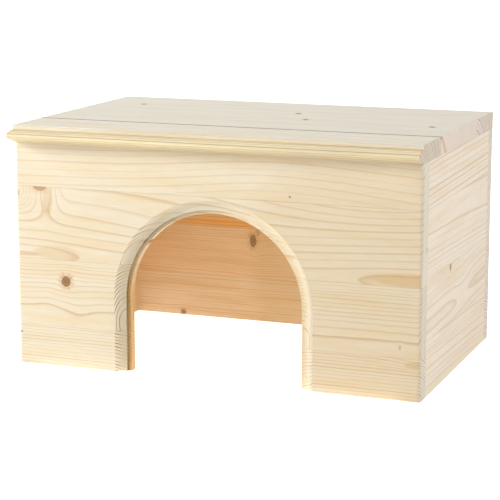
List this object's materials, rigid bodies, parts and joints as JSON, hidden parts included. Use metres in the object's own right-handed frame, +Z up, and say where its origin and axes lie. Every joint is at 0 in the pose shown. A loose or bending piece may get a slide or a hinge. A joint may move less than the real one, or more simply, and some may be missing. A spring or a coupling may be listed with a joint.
{
  "type": "guinea pig house",
  "caption": "Wooden house for small pets: four glued-board walls without a floor, a moulded archway in front, and a flat roof with a moulded nose.",
  "frame": {"origin": "middle of the ground that the house covers, the roof's nose included", "axes": "+X to the right along the front wall, +Y from the archway to the back wall, +Z up"},
  "size_m": [0.38, 0.26, 0.22],
  "materials": {
    "front_spruce": "planed, untreated",
    "side_spruce": "planed, untreated",
    "back_spruce": "planed, untreated",
    "roof_spruce": "planed, untreated",
    "nose_spruce": "planed, untreated",
    "beech_dowel": "plain"
  },
  "bodies": {
    "root": {"front_left_lower_stave": "front_spruce", "front_left_upper_stave": "front_spruce", "front_right_lower_stave": "front_spruce", "front_right_upper_stave": "front_spruce", "front_arch_stave": "front_spruce", "front_top_stave": "front_spruce", "back_bottom_stave": "back_spruce", "back_lower_stave": "back_spruce", "back_upper_stave": "back_spruce", "back_top_stave": "back_spruce", "left_bottom_stave": "side_spruce", "left_lower_stave": "side_spruce", "left_upper_stave": "side_spruce", "left_top_stave": "side_spruce", "right_bottom_stave": "side_spruce", "right_lower_stave": "side_spruce", "right_upper_stave": "side_spruce", "right_top_stave": "side_spruce", "roof_nose_board": "nose_spruce", "roof_front_stave": "roof_spruce", "roof_middle_stave": "roof_spruce", "roof_rear_stave": "roof_spruce", "front_left_dowel_low": "beech_dowel", "front_left_dowel_middle": "beech_dowel", "front_left_dowel_high": "beech_dowel", "front_right_dowel_low": "beech_dowel", "front_right_dowel_middle": "beech_dowel", "front_right_dowel_high": "beech_dowel", "back_left_dowel_low": "beech_dowel", "back_left_dowel_middle": "beech_dowel", "back_left_dowel_high": "beech_dowel", "back_right_dowel_low": "beech_dowel", "back_right_dowel_middle": "beech_dowel", "back_right_dowel_high": "beech_dowel", "roof_left_dowel_front": "beech_dowel", "roof_left_dowel_middle": "beech_dowel", "roof_left_dowel_rear": "beech_dowel", "roof_right_dowel_front": "beech_dowel", "roof_right_dowel_middle": "beech_dowel", "roof_right_dowel_rear": "beech_dowel"}
  },
  "joints": []
}
